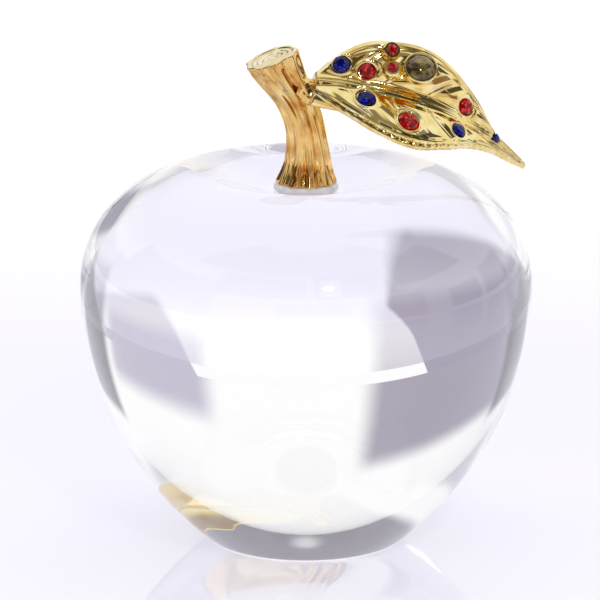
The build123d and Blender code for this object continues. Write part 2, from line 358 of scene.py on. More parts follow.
class PlateTone(Enum):
    """The tones of each gold plate, from the darkest to the palest, which soft clouds mix over its surface.
    """

    BARK = ("#CC8E44", "#E9C078", "#F5DC9E")
    LEAF = ("#E4C474", "#F1DB94", "#FAECBA")
    SAWN = ("#DCC690", "#EEDFB2", "#F8F0D4")


@dataclass(frozen=True)
class GoldPlate:
    """Bright gold plate over a cast alloy: a mirror finish, softened a little by the casting's skin."""

    name: str
    tone: PlateTone = PlateTone.BARK
    roughness: float = 0.09
    cloud_mm: float = 3.2
    skin_mm: float = 0.8
    skin_share: float = 0.12
    skin_depth_mm: float = 0.04
    wear_shares: Pair = (1.5, 0.7)
    wear_range: Pair = (0.3, 0.7)
    tone_stops: Triple = (0.25, 0.5, 0.75)

    def material(self) -> Material:
        """Make the material.

        Returns:
            The material, with long clouds in its tone and a faint cast skin.
        """
        material, tree, shader, place = new_material(self.name)
        cloud, skin = (
            add_node(tree, "TexNoise", {"Vector": place, "Scale": 1 / (size * MM), "Detail": 2.0})[0]
            for size in (self.cloud_mm, self.skin_mm)
        )
        rough, worn = (self.roughness * share for share in self.wear_shares)
        low, high = self.wear_range
        wear = {"Value": skin, "From Min": low, "From Max": high, "To Min": rough, "To Max": worn}
        bump = {"Height": skin, "Strength": self.skin_share, "Distance": self.skin_depth_mm * MM}
        looks = {
            "Metallic": 1.0,
            "Base Color": tone_from(tree, cloud, tuple(zip(self.tone_stops, self.tone.value))),
            "Roughness": add_node(tree, "MapRange", wear)[0],
            "Normal": add_node(tree, "Bump", bump)[0],
        }
        set_inputs(tree, shader, looks)
        return material


@dataclass(frozen=True)
class FoiledStone:
    """Faceted glass with a foiled back: saturated colour, painted glints and painted shade in patches, and
    sharp glints.
    """

    name: str
    # The dark tone is painted shade and the light tone a painted glint; the body is the glass's own colour.
    dark: str
    body: str
    light: str
    patch_mm: float = 0.6
    roughness: float = 0.08
    ior: float = 1.36
    coat: float = 0.1
    coat_roughness: float = 0.02

    def material(self) -> Material:
        """Make the material.

        Returns:
            The material, with painted glints and painted shade: light and dark patches in its colour in place
            of the light that the foil throws back.
        """
        material, tree, shader, place = new_material(self.name)
        scale = 1 / (self.patch_mm * MM)
        # Painted glints and painted shade: each cell of the pattern turns light in its middle and dark at its
        # edge.
        painted_glint_and_shade = add_node(tree, "TexVoronoi", {"Vector": place, "Scale": scale})["Distance"]
        looks = {
            "Base Color": tone_from(tree, painted_glint_and_shade, ((0.08, self.light), (0.26, self.body), (0.62, self.dark))),
            "Roughness": self.roughness,
            "IOR": self.ior,
            "Coat Weight": self.coat,
            "Coat Roughness": self.coat_roughness,
        }
        set_inputs(tree, shader, looks)
        return material


@dataclass(frozen=True)
class SmokedCabochon:
    """Smoky glass over foil, polished to a dome: olive brown clouds that half mirror, and hard highlights."""

    cloud_mm: float = 2.4
    foil_share: float = 0.5
    roughness: float = 0.05
    coat_roughness: float = 0.02

    def material(self) -> Material:
        """Make the material.

        Returns:
            The material, with brown clouds in the glass.
        """
        material, tree, shader, place = new_material("smoked glass cabochon")
        scale = 1 / (self.cloud_mm * MM)
        cloud = add_node(tree, "TexNoise", {"Vector": place, "Scale": scale})[0]
        looks = {
            "Base Color": tone_from(tree, cloud, ((0.3, "#1E170C"), (0.5, "#55451F"), (0.7, "#9A8446"))),
            "Metallic": self.foil_share,
            "Roughness": self.roughness,
            "Coat Weight": 1.0,
            "Coat Roughness": self.coat_roughness,
        }
        set_inputs(tree, shader, looks)
        return material


@dataclass(frozen=True)
class CuredAdhesive:
    """Clear adhesive, cured: like glass, but softer, milky and slightly cloudy."""

    cloud_mm: float = 1.2
    haze_range: Pair = (0.3, 0.7)
    roughness: Pair = (0.05, 0.25)
    ior: float = 1.46
    clear_share: float = 0.08

    def material(self) -> Material:
        """Make the material.

        Returns:
            The material, with a cloudy roughness and a milky body.
        """
        material, tree, shader, place = new_material("cured clear adhesive")
        scale = 1 / (self.cloud_mm * MM)
        cloud = add_node(tree, "TexNoise", {"Vector": place, "Scale": scale})[0]
        (low, high), (smooth, rough) = self.haze_range, self.roughness
        haze = {"Value": cloud, "From Min": low, "From Max": high, "To Min": smooth, "To Max": rough}
        looks = {
            "Base Color": tone_from(tree, cloud, ((0.35, "#EDE8F4"), (0.65, "#FFFFFF"))),
            "Roughness": add_node(tree, "MapRange", haze)[0],
            "IOR": self.ior,
            "Transmission Weight": self.clear_share,
        }
        set_inputs(tree, shader, looks)
        return material


# Soft shapes of the surroundings, and painted shade on the table


@dataclass(frozen=True)
class SoftShape:
    """One soft shape far out, in degrees: 0 is behind the apple, 90 to its right and 180 the viewer."""

    azimuth: float
    half_azimuth: float
    height: float
    half_height: float
    edge: float
    colour: str
    weight: float


@dataclass(frozen=True)
class PaintedTableShadow:
    """One soft painted shadow on the table behind the apple: beyond a distance, inside straight lines and an
    azimuth.

    The sign is 1 to the right of the apple and -1 to its left. Each line is a place beside the apple in
    millimetres and a slant.
    """

    sign: float
    lines: tuple[Pair, ...]
    nearest: float
    fade: float
    widest: float
    colour: str
    weight: float
    line_fade_share: float = 0.3
    turn_fade: float = 6.0


# Painted shade: soft grey shadows on the table behind the apple, which only light through the glass meets.
NEAR_TABLE_PAINTED_SHADOWS = (
    PaintedTableShadow(-1, ((-13, 0.24), (-47, 0.45)), 64, 12, 57, "#9C94A9", 0.95),
    PaintedTableShadow(1, ((-2, 0.38), (38, 0)), 125, 40, 50, "#BCB6CA", 0.92),
)
# Painted shade: dark bands on the table to both sides, which only light through the glass meets.
WIDE_TABLE_PAINTED_SHADE = (
    SoftShape(64, 8, 0, 0, 5, "#66636F", 0.9),
    SoftShape(-66, 8, 0, 0, 5, "#66636F", 0.9),
)
# Both the glass and the gold see these.
BACK_SHAPES = (
    SoftShape(35, 13, -2, 6, 6, "#BAB4C9", 0.92),
    SoftShape(-36, 21, 4, 9, 6, "#9F97A8", 0.95),
    SoftShape(65, 8, 2, 14, 5, "#55525E", 0.95),
    SoftShape(-66, 8, 2, 14, 5, "#55525E", 0.95),
)
# Only light that has passed through the glass meets these.
GLASS_SHAPES = (
    SoftShape(-94, 16, 28, 7, 8, "#5A6078", 0.7),
    SoftShape(180, 76, 60, 13, 7, "#85818C", 0.95),
    SoftShape(-180, 76, 60, 13, 7, "#85818C", 0.95),
    SoftShape(140, 9, 10, 12, 7, "#A9A4B4", 0.8),
    SoftShape(-150, 7, 8, 14, 7, "#A9A4B4", 0.8),
)
# Only light that a surface mirrors meets these: warm greys and browns that give the gold its depth.
METAL_SHAPES = (
    SoftShape(180, 76, 62, 11, 7, "#8A8478", 0.95),
    SoftShape(-180, 76, 62, 11, 7, "#8A8478", 0.95),
    SoftShape(180, 50, 20, 24, 10, "#DCCDB8", 0.9),
    SoftShape(-180, 50, 20, 24, 10, "#DCCDB8", 0.9),
    SoftShape(152, 22, 38, 12, 3, "#2A241C", 0.95),
    SoftShape(-156, 26, 35, 9, 3, "#3A2E20", 0.92),
    SoftShape(180, 22, 14, 4, 3, "#3A2A1C", 0.9),
    SoftShape(-180, 14, 14, 4, 3, "#3A2A1C", 0.9),
    SoftShape(103, 22, 42, 11, 3, "#3A3428", 0.95),
    SoftShape(90, 9, 2, 11, 3, "#3A3224", 0.92),
    SoftShape(127, 9, 6, 12, 5, "#7A5430", 0.85),
    SoftShape(60, 8, 66, 9, 3, "#463E2C", 0.85),
    SoftShape(-98, 30, 14, 19, 5, "#24262E", 0.92),
    SoftShape(166, 5, 36, 8, 1.5, "#FFFFFF", 1),
)


@dataclass
class ShapePainter:
    """Lays soft shapes over a colour in a node tree."""

    tree: Any

    def degrees(self, operation: str, *values: Any) -> Any:
        """Return an angle in degrees from an operation that gives radians."""
        angle = add_node(self.tree, "Math", dict(enumerate(values)), operation=operation)[0]
        return self.overlap(angle, math.degrees(1))

    def overlap(self, first: Any, second: Any) -> Any:
        """Return the product of two masks or weights."""
        return add_node(self.tree, "Math", {0: first, 1: second}, operation="MULTIPLY")[0]

    def rise(self, value: Any, low: float, high: float) -> Any:
        """Return a soft step from 0 at low to 1 at high."""
        ends = {"Value": value, "From Min": low, "From Max": high}
        return add_node(self.tree, "MapRange", ends, interpolation_type="SMOOTHSTEP")[0]

    def soft(self, value: Any, centre: float, half: float, edge: float) -> Any:
        """Make a mask around a centre.

        Args:
            value: The socket of the value.
            centre: Where the mask's middle is.
            half: How far it stays 1 to both sides.
            edge: How far it then takes to fall to 0.

        Returns:
            The socket of the mask.
        """
        gap = add_node(self.tree, "Math", {0: value, 1: centre}, operation="SUBTRACT")[0]
        gap = add_node(self.tree, "Math", {0: gap}, operation="ABSOLUTE")[0]
        return self.rise(gap, half + edge, half)

    def choose(self, mask: Any, first: Any, second: Any) -> Any:
        """Return the first colour where the mask is 0 and the second where it is 1."""
        colours = {0: mask, 6: first, 7: second}
        return add_node(self.tree, "Mix", colours, data_type="RGBA")[2]

    def lay(self, under: Any, mask: Any, hex_colour: str) -> Any:
        """Return a colour with another laid over it where the mask is 1."""
        return self.choose(mask, under, linear(hex_colour))

    def sky(self, base: Any, azimuth: Any, height: Any, shapes: Sequence[SoftShape]) -> Any:
        """Lay shapes over the sky.

        Args:
            base: The socket of the sky's colour.
            azimuth: The socket of the azimuth in degrees.
            height: The socket of the elevation in degrees.
            shapes: The shapes, the upper ones last.

        Returns:
            The socket of the sky's colour with the shapes.
        """
        for shape in shapes:
            across = self.soft(azimuth, shape.azimuth, shape.half_azimuth, shape.edge)
            up = self.soft(height, shape.height, shape.half_height, shape.edge)
            base = self.lay(base, self.overlap(self.overlap(across, up), shape.weight), shape.colour)
        return base


@dataclass(frozen=True)
class TableTop:
    """White lacquer, polished: pale lavender near the apple, white far out, with a sharp mirror image.

    Light that has passed through the glass meets painted shade on it, soft grey shadows and dark bands, so
    that the glass has something to bend. The camera and the gold see it plain. A painted glow pales the
    table under the glass base.
    """

    tone_reach: Pair = (-150.0, 450.0)
    wide_painted_shade_from: Pair = (60.0, 90.0)
    far: Pair = (200.0, 900.0)
    painted_glow_under_base: Pair = (14.5, 17.5)
    mirror_share: float = 0.5
    ior: float = 1.8
    fill_share: float = 0.19

    def shapes(self, painter: ShapePainter, place: Any, plain: Any) -> Any:
        """Lay the painted shade, soft grey shadows and dark bands, over the table's own tone.

        Args:
            painter: The painter of the material's tree.
            place: The socket of the place on the table.
            plain: The socket of the table's own tone.

        Returns:
            The socket of the colour with the painted shade.
        """
        parts = add_node(painter.tree, "SeparateXYZ", {"Vector": place})
        azimuth = painter.degrees("ARCTAN2", parts[0], parts[1])
        side = add_node(painter.tree, "Math", {0: parts[0]}, operation="ABSOLUTE")[0]
        colour = plain
        for shape in NEAR_TABLE_PAINTED_SHADOWS:
            mask = painter.rise(parts[1], shape.nearest * MM, (shape.nearest + shape.fade) * MM)
            for start, slant in shape.lines:
                way = {0: place, 1: (shape.sign, -slant, 0.0)}
                line = add_node(painter.tree, "VectorMath", way, operation="DOT_PRODUCT")["Value"]
                end = start + shape.fade * shape.line_fade_share
                mask = painter.overlap(mask, painter.rise(line, start * MM, end * MM))
            edge = shape.sign * (shape.widest + shape.turn_fade)
            mask = painter.overlap(mask, painter.rise(azimuth, edge, shape.sign * shape.widest))
            colour = painter.lay(colour, painter.overlap(mask, shape.weight), shape.colour)
        start, end = self.wide_painted_shade_from
        for shape in WIDE_TABLE_PAINTED_SHADE:
            mask = painter.soft(azimuth, shape.azimuth, shape.half_azimuth, shape.edge)
            mask = painter.overlap(mask, painter.rise(side, start * MM, end * MM))
            colour = painter.lay(colour, painter.overlap(mask, shape.weight), shape.colour)
        return colour

    def material(self) -> Material:
        """Make the material.

        Returns:
            The material, with its tone changing along the table, painted shade and a painted glow on it, and
            its mirror image fading far out.
        """
        material, tree, shader, place = new_material("white lacquered table")
        painter = ShapePainter(tree)
        along = add_node(tree, "SeparateXYZ", {"Vector": place})[1]
        near, end = self.tone_reach
        ends = {"Value": along, "From Min": near * MM, "From Max": end * MM}
        reach = add_node(tree, "MapRange", ends)[0]
        stops = ((0.0, "#FBFAFF"), (0.25, "#F4F2FF"), (0.45, "#EEEBFE"), (0.75, "#FDFDFF"), (1.0, "#FFFFFF"))
        plain = tone_from(tree, reach, stops)
        path = add_node(tree, "LightPath")
        # Painted shade: only light that has passed through the glass meets the soft shadows and dark bands.
        colour = painter.choose(path["Is Transmission Ray"], plain, self.shapes(painter, place, plain))
        middle = add_node(tree, "VectorMath", {0: place}, operation="LENGTH")["Value"]
        near, end = self.far
        far = painter.overlap(path["Is Camera Ray"], painter.rise(middle, near * MM, end * MM))
        fill = {0: 1.0, 6: colour, 7: (self.fill_share, self.fill_share, self.fill_share, 1.0)}
        glow = add_node(tree, "Mix", fill, data_type="RGBA", blend_type="MULTIPLY")[2]
        image = painter.overlap(painter.rise(middle, end * MM, near * MM), self.mirror_share)
        # Painted light: the table glows paler inside the glass base's radius, where the base would shade it.
        inner, outer = self.painted_glow_under_base
        glow = painter.lay(glow, painter.rise(middle, outer * MM, inner * MM), "#E6E2EE")
        looks = {
            "Base Color": painter.lay(colour, far, "#000000"),
            "Specular IOR Level": image,
            "Roughness": 0.0,
            "IOR": self.ior,
            "Emission Color": painter.lay(glow, far, "#FFFFFF"),
            "Emission Strength": 1.0,
        }
        set_inputs(tree, shader, looks)
        return material


# Pieces


@dataclass
class GlassApple:
    """The crystal body: one turned outline, polished all over."""

    radius: float = 40.0
    equator_height: float = 46.3
    base_radius: float = 15.9
    base_edge_radius: float = 2.4
    base_edge_turn: float = 37.5
    flank_pulls: Pair = (17.2, 17.6)
    shoulder_pulls: Pair = (16.6, 3.2)
    crown: Pair = (20.0, 67.2)
    dish_pulls: Pair = (3.4, 5.4)
    dish_slope: float = 14.0
    seat: Pair = (7.1, 63.4)
    axis_gap: float = 0.6
    turns: int = 240
    base_points: int = 12
    edge_points: int = 8
    flank_points: int = 64
    shoulder_points: int = 48
    dish_points: int = 32
    seat_points: int = 7

    def outline(self) -> Array:
        """Draw the half outline.

        Returns:
            Radii and heights, from near the axis at the base to near the axis at the seat.
        """
        turn = math.radians(self.base_edge_turn)
        arc = np.linspace(0, turn, self.edge_points + 1)[1:]
        edge = np.column_stack((np.sin(arc), 1 - np.cos(arc))) * self.base_edge_radius + (self.base_radius, 0)
        way = np.array((math.cos(turn), math.sin(turn)))
        slope = math.radians(self.dish_slope)
        out = np.array((math.cos(slope), math.sin(slope)))
        equator = np.array((self.radius, self.equator_height))
        crown, seat = np.array(self.crown), np.array(self.seat)
        pulled = (edge[-1] + way * self.flank_pulls[0], equator - (0, self.flank_pulls[1]))
        flank = bezier((edge[-1], *pulled, equator), self.flank_points)
        pulled = (equator + (0, self.shoulder_pulls[0]), crown + (self.shoulder_pulls[1], 0))
        shoulder = bezier((equator, *pulled, crown), self.shoulder_points)
        pulled = (crown - (self.dish_pulls[0], 0), seat + out * self.dish_pulls[1])
        dish = bezier((crown, *pulled, seat), self.dish_points)
        flat = np.linspace(self.axis_gap, self.base_radius, self.base_points)
        base = np.column_stack((flat, np.zeros(self.base_points)))
        inward = np.linspace(self.seat[0], self.axis_gap, self.seat_points + 1)[1:]
        top = np.column_stack((inward, np.full(self.seat_points, self.seat[1])))
        return np.vstack((base, edge, flank[1:], shoulder[1:], dish[1:], top))

    def build(self, finish: LeadCrystal) -> None:
        """Build the body and put it in the place of its solid.

        Args:
            finish: The crystal's finish.
        """
        outline = self.outline()
        angles = np.linspace(0, 2 * math.pi, self.turns, endpoint=False)
        points = [(r * math.cos(a), r * math.sin(a), z) for r, z in outline for a in angles]
        low = len(points)
        points += [(0, 0, 0), (0, 0, self.seat[1])]
        faces = grid_faces(len(outline), self.turns) + end_fans(self.turns, low, low + 1, low - self.turns)
        piece = make_piece("crystal_apple", np.array(points), faces)
        dress(piece, finish.material())
        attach(piece, "root")
        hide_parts("glass_body")
        LOG.info("crystal body: %d points", len(points))


@dataclass(frozen=True)
class Furrow:
    """One set of furrows around the stem.

    The count and the start in radians place them, the drift turns them with each millimetre of height, the
    wander bends them and a higher power makes them narrower. With a power of 1 they are plain waves.
    """

    count: int
    depth: float
    power: int
    start: float
    drift: float
    wander: float = 0.0
    wander_rate: float = 0.3

    def relief(self, angle: Array, z: float) -> Array:
        """Work out the furrows at one height.

        Args:
            angle: Places around the stem, in radians.
            z: The height over the foot.

        Returns:
            How far the bark stands out at each place, below 0 in a furrow.
        """
        bend = self.wander * math.sin(self.wander_rate * z)
        wave = np.cos(self.count * angle + self.drift * z + bend + self.start)
        return self.depth * (wave if self.power == 1 else np.clip(wave, 0, 1) ** self.power)


BARK_FURROWS = (Furrow(13, 0.015, 1, 0.6, 0.65, 0.9), Furrow(7, -0.2, 2, 1.0, 0.35, 0.3))
FOOT_FURROWS = (Furrow(8, -0.62, 3, 0.4, 0.12), Furrow(15, -0.4, 4, 1.9, 0.2))


@dataclass
class BarkStem:
    """The stem casting: fluted bark, a sawn top with growth rings, and a branch stub for the leaf."""

    foot_height: float = 64.8
    height: float = 22.3
    lean: float = 6.0
    waist_radius: float = 3.2
    top_tilt: float = 20.0
    top_forward_tilt: float = 6.0
    forward_share: float = 0.88
    stations: Row = (0.0, 0.13, 0.29, 0.54, 0.71, 0.87, 1.0)
    lean_shares: Row = (0.0, -0.035, -0.025, 0.14, 0.4, 0.77, 1.0)
    radius_shares: Row = (1.62, 1.27, 1.08, 1.0, 1.04, 1.27, 1.46)
    tilt_shares: Row = (0.0, 0.0, 0.0, 0.5, 1.2, 1.2, 1.0)
    depth_shares: Row = (1.3, 1.2, 1.0, 1.0, 1.0, 1.0, 0.7)
    flute_count: int = 9
    flute_depth: float = 0.3
    wave_count: int = 4
    wave_depth: float = 0.15
    wave_turn: float = 40.0
    bark_end_shares: Pair = (0.93, 0.99)
    foot_end_shares: Pair = (0.1, 0.36)
    foot_inner_share: float = 0.5
    turns: int = 216
    rows: int = 96
    rim_rings: int = 2
    sawn_middle_rise: float = 0.18
    round_shares: Pair = (0.8, 1.0)
    # Each pair is a share of the top's radius and a rise over its plane: a rounded rim and four cut rings.
    sawn_rings: tuple[Pair, ...] = (
        (1.01, 0.12), (1.0, 0.26), (0.97, 0.38), (0.925, 0.44), (0.88, 0.42), (0.85, 0.34),
        (0.83, 0.2), (0.815, 0.12), (0.8, 0.12), (0.785, 0.22), (0.76, 0.28), (0.7, 0.29), (0.65, 0.26),
        (0.63, 0.12), (0.615, 0.08), (0.6, 0.1), (0.58, 0.22), (0.54, 0.26), (0.47, 0.25), (0.43, 0.22),
        (0.41, 0.08), (0.395, 0.04), (0.38, 0.08), (0.36, 0.19), (0.3, 0.22), (0.22, 0.21),
        (0.19, 0.1), (0.17, 0.08), (0.15, 0.16), (0.08, 0.19),
    )
    stub_root: Triple = (-2.7, -0.4, 81.9)
    stub_root_radius: float = 3.2
    stub_rows: int = 14
    stub_columns: int = 64
    solder_thickness: float = 0.15

    def ring(self, share: float) -> tuple[Array, Array, Array]:
        """Draw one section.

        Args:
            share: The section's place, from 0 at the foot to 1 at the sawn top.

        Returns:
            The section's points, its centre and its unit normal.
        """
        lean, radius, tilt, depth = (
            smooth_table(self.stations, table, share)
            for table in (self.lean_shares, self.radius_shares, self.tilt_shares, self.depth_shares)
        )
        centre = np.array((-self.lean * lean, 0, self.foot_height + self.height * share))
        turn = math.radians(self.top_tilt * tilt)
        forward = math.radians(self.top_forward_tilt) * smooth_step(self.forward_share, 1.0, share)
        way = np.array((-math.sin(turn), -math.sin(forward), math.cos(turn)))
        way /= np.linalg.norm(way)
        side = np.cross((0, 1, 0), way)
        side /= np.linalg.norm(side)
        back = np.cross(way, side)
        a = np.linspace(0, 2 * math.pi, self.turns, endpoint=False)
        flute = self.flute_depth * np.cos(self.flute_count * a)
        wave = self.wave_depth * np.cos(self.wave_count * a + math.radians(self.wave_turn))
        reach = self.waist_radius * radius + depth * (flute + wave) + self.bark(a, share)
        points = centre + np.outer(reach * np.cos(a), side) + np.outer(reach * np.sin(a), back)
        return points, centre, way

    def bark(self, angle: Array, share: float) -> Array:
        """Work out the fine bark on top of the flutes: furrows that wander, and deeper ones at the foot.

        Args:
            angle: Places around the stem, in radians.
            share: The section's place, from 0 at the foot to 1 at the sawn top.

        Returns:
            How far the bark stands out at each place.
        """
        z = share * self.height
        fine = sum(furrow.relief(angle, z) for furrow in BARK_FURROWS)
        deep = sum(furrow.relief(angle, z) for furrow in FOOT_FURROWS)
        end, start = self.bark_end_shares
        foot, above = self.foot_end_shares
        return fine * smooth_step(start, end, share) + deep * (1 - smooth_step(foot, above, share))

    def sawn_top(self, outline: Array, centre: Array, way: Array) -> list[Array]:
        """Draw the rings of points that make the sawn top, with its growth rings.

        Args:
            outline: The last section's points.
            centre: Its centre.
            way: Its normal.

        Returns:
            One array of points for each ring, from the rim inwards.
        """
        spoke = outline - centre
        length = np.linalg.norm(spoke, axis=1, keepdims=True)
        plain = length.mean()
        rings = []
        for scale, rise in self.sawn_rings:
            fluted = (length - plain) * smooth_step(*self.round_shares, scale)
            rings.append(centre + spoke / length * (plain + fluted) * scale + way * rise)
        return rings

    def stub(self, leaf: "StoneLeaf") -> tuple[Array, Faces]:
        """Draw the branch stub: a flared trumpet from inside the stem to the leaf's seam.

        Args:
            leaf: The leaf that the stub carries.

        Returns:
            The stub's points and faces.
        """
        root = np.array(self.stub_root)
        seam = leaf.place(-self.solder_thickness, *leaf.seam_centre)
        slim, wide = self.stub_root_radius, np.array(leaf.seam_radii)
        points = []
        for t in np.linspace(0, 1, self.stub_rows):
            flare = 1 - (1 - t) ** 2
            across, out = slim + (wide - slim) * flare
            points.append(leaf.oval(root + (seam - root) * t, across, out, self.stub_columns))
        end = self.stub_rows * self.stub_columns
        last = end - self.stub_columns
        faces = grid_faces(self.stub_rows, self.stub_columns)
        faces += [(end, last + i, last + (i + 1) % self.stub_columns) for i in range(self.stub_columns)]
        return np.vstack((*points, seam)), faces

    def build(self, bark: Material, sawn: Material, leaf: "StoneLeaf") -> None:
        """Build the stem and put it in the place of its solid.

        Args:
            bark: The material of the bark and the stub.
            sawn: The material of the sawn top.
            leaf: The leaf that the stub carries.
        """
        sections = [self.ring(float(share)) for share in np.linspace(0, 1, self.rows)]
        rings = [points for points, _, _ in sections]
        outline, centre, way = sections[-1]
        foot = rings[0].mean(axis=0)
        rings.insert(0, foot + (rings[0] - foot) * self.foot_inner_share)
        rings += self.sawn_top(outline, centre, way)
        points = np.vstack(rings)
        low, high = len(points), len(points) + 1
        faces = grid_faces(len(rings), self.turns) + end_fans(self.turns, low, high, low - self.turns)
        points = np.vstack((points, foot, centre + way * self.sawn_middle_rise))
        more, more_faces = self.stub(leaf)
        faces += [tuple(len(points) + i for i in face) for face in more_faces]
        piece = make_piece("bark_stem", np.vstack((points, more)), faces)
        dress(piece, bark, sawn)
        slots = np.zeros(len(faces), dtype=np.int32)
        slots[(self.rows + self.rim_rings) * self.turns : low - self.turns] = 1
        slots[[i for i, face in enumerate(faces) if high in face]] = 1
        piece.data.polygons.foreach_set("material_index", slots)
        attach(piece, "root")
        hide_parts("stem")
        LOG.info("bark stem: %d points", len(points) + len(more))


@dataclass
class StoneLeaf:
    """The leaf casting: folded along its midrib, arched, veined and set with stones."""

    origin: Triple = (1.6, -1.0, 82.5)
    yaw: float = 19.2
    pitch: float = 23.9
    roll: float = 61.0
    length: float = 43.2
    bow: float = 7.3
    sway: float = 1.5
    sway_start: float = 0.28
    sway_rise: float = 0.7
    upper_width: float = 9.2
    lower_width: float = 11.2
    least_half_width: float = 0.2
    upper_fold: float = 22.0
    lower_fold: float = 26.0
    camber: float = 0.35
    tip_twist: float = -14.0
    tip_length: float = 0.15
    thickness: float = 1.1
    stations: Row = (0.0, 0.05, 0.13, 0.25, 0.38, 0.52, 0.66, 0.79, 0.9, 1.0)
    upper_shares: Row = (0.06, 0.45, 0.82, 0.98, 1.0, 0.8, 0.48, 0.13, 0.065, 0.04)
    lower_shares: Row = (0.18, 0.36, 0.62, 0.9, 1.0, 0.78, 0.465, 0.27, 0.16, 0.03)
    thickness_shares: Row = (2.0, 1.5, 1.1, 1.0, 1.0, 1.0, 1.0, 0.95, 0.85, 0.6)
    vein_first: float = 0.1
    vein_step: float = 0.15
    vein_sweep: float = 0.17
    vein_bend: float = 0.77
    vein_reach: float = 0.97
    vein_height: float = 0.18
    vein_width: float = 0.24
    vein_waver: Triple = (0.12, 2.6, 1.7)
    vein_along_shares: Row = (0.02, 0.16, 0.8, 0.97)
    vein_across_shares: Row = (0.05, 0.3, 0.6, 1.0)
    lobe_height: float = 0.42
    lobe_lean: float = 0.5
    lobe_power: float = 2.2
    lobe_across_shares: Row = (0.06, 0.42, 0.72, 1.0)
    midrib_end_share: float = 0.97
    midrib_points: int = 60
    midrib_heights: Pair = (0.5, 0.25)
    midrib_widths: Pair = (0.75, 0.4)
    channel_depth: float = 0.12
    channel_gap: float = 1.3
    channel_width: float = 0.5
    seat_flat_margins: Pair = (0.9, 0.15)
    seat_rim_height: float = 0.14
    seat_rim_gap: float = 0.28
    seat_rim_width: float = 0.2
    seat_depth: float = 0.3
    seat_edge_margins: Pair = (0.06, -0.1)
    lip_height: float = 0.17
    lip_shares: Pair = (0.955, 0.04)
    dip_depth: float = 0.08
    dip_shares: Pair = (0.87, 0.045)
    lip_start_shares: Pair = (0.04, 0.12)
    bead_pitch: float = 1.45
    lip_bead_share: float = 0.4
    rim_bead_share: float = 0.03
    root_rib_end: Triple = (6.0, -3.0, 3.9)
    root_rib_radii: Pair = (1.4, 0.45)
    seam_centre: Pair = (-1.0, -1.2)
    seam_radii: Pair = (2.5, 1.4)
    rows: int = 340
    half_columns: int = 84
    under_columns: int = 14
    rim_columns: int = 7
    rib_rows: int = 16
    rib_columns: int = 48
    # Each stone has its shares of the length along and across the chord, and its radius.
    stone_places: dict[str, Triple] = field(
        default_factory=lambda: {
            "blue_stone_1": (0.068, 0.104, 1.5),
            "blue_stone_2": (0.181, -0.024, 1.6),
            "blue_stone_3": (0.579, -0.048, 1.35),
            "blue_stone_4": (0.799, 0.024, 0.8),
            "red_stone_1": (0.167, 0.095, 1.4),
            "red_stone_2": (0.348, -0.092, 1.8),
            "red_stone_3": (0.605, 0.073, 1.4),
        }
    )

    def __post_init__(self) -> None:
        """Work out the leaf's directions: along its chord, across it and out of its face."""
        yaw, pitch, roll = (math.radians(v) for v in (self.yaw, self.pitch, self.roll))
        chord = (math.cos(yaw) * math.cos(pitch), math.sin(yaw) * math.cos(pitch), -math.sin(pitch))
        self.along = np.array(chord)
        level = np.array((-math.sin(yaw), math.cos(yaw), 0.0))
        self.out = np.cross(self.along, level) * math.cos(roll) - level * math.sin(roll)
        self.across = np.cross(self.out, self.along)

    def place(self, along: float, across: float, out: float) -> Array:
        """Return a place in the model's frame from its lengths in the leaf's frame."""
        return np.array(self.origin) + self.along * along + self.across * across + self.out * out

    def oval(self, centre: Array, across: float, out: float, columns: int) -> Array:
        """Draw an oval that faces along the leaf.

        Args:
            centre: Its centre, in the model's frame.
            across: Its radius across the leaf.
            out: Its radius out of the leaf's face.
            columns: The number of points.

        Returns:
            Its points, one in each row.
        """
        a = np.linspace(0, 2 * math.pi, columns, endpoint=False)
        return centre + np.outer(across * np.cos(a), self.across) + np.outer(out * np.sin(a), self.out)

    def midrib(self, station: Array) -> tuple[Array, Array]:
        """Return how far the midrib lies across and out of the chord."""
        turn = self.sway_start + (1 - self.sway_start) * station**self.sway_rise
        return self.sway * np.sin(math.pi * turn), self.bow * np.sin(math.pi * station)

    def face(self, station: Array, reach: Array, side: int) -> Array:
        """Draw points of the leaf's face.

        Args:
            station: Places along the chord, from 0 to 1.
            reach: Places from the midrib, 0, to the rim, 1.
            side: 1 for the upper half, -1 for the lower.

        Returns:
            Lengths along, across and out in the leaf's frame, one row for each place.
        """
        shares = self.upper_shares if side > 0 else self.lower_shares
        width = self.upper_width if side > 0 else self.lower_width
        width = np.maximum(width * smooth_table(self.stations, shares, station), self.least_half_width)
        fold = math.radians(self.upper_fold if side > 0 else self.lower_fold)
        twist = math.radians(self.tip_twist) * station**2
        across = side * width * reach * math.cos(fold)
        out = width * reach * math.sin(fold) * (1 - self.camber * reach)
        mid_across, mid_out = self.midrib(station)
        turned_across = mid_across + across * np.cos(twist) - out * np.sin(twist)
        turned_out = mid_out + across * np.sin(twist) + out * np.cos(twist)
        return np.column_stack((self.length * station, turned_across, turned_out))

    def veins(self, reach: Array, station: Array, side: int) -> Array:
        """Work out the side veins and the swelling of the leaf between them.

        Args:
            reach: How far each place is from the midrib, 0, to the rim, 1.
            station: How far along the chord each place is.
            side: 1 for the upper half, -1 for the lower.

        Returns:
            One height for each place.
        """
        sweep = self.vein_sweep * (reach / self.vein_reach) ** (1 / self.vein_bend)
        turn = (station - sweep - self.vein_first) / self.vein_step
        waver, reach_rate, turn_rate = self.vein_waver
        turn = turn + waver * np.sin(reach_rate * reach + turn_rate * turn)
        part = turn - np.floor(turn)
        lobe = 1 - np.abs(2 * part - 1) ** self.lobe_power
        lobe = self.lobe_height * lobe * (1 + self.lobe_lean * side * (part - 0.5))
        crease = np.minimum(part, 1 - part) * self.vein_step * self.length
        vein = self.vein_height * soft_bump(crease, self.vein_width)
        lobe = lobe * smooth_band(self.lobe_across_shares, reach)
        vein = vein * smooth_band(self.vein_across_shares, reach)
        return (lobe + vein) * smooth_band(self.vein_along_shares, station)

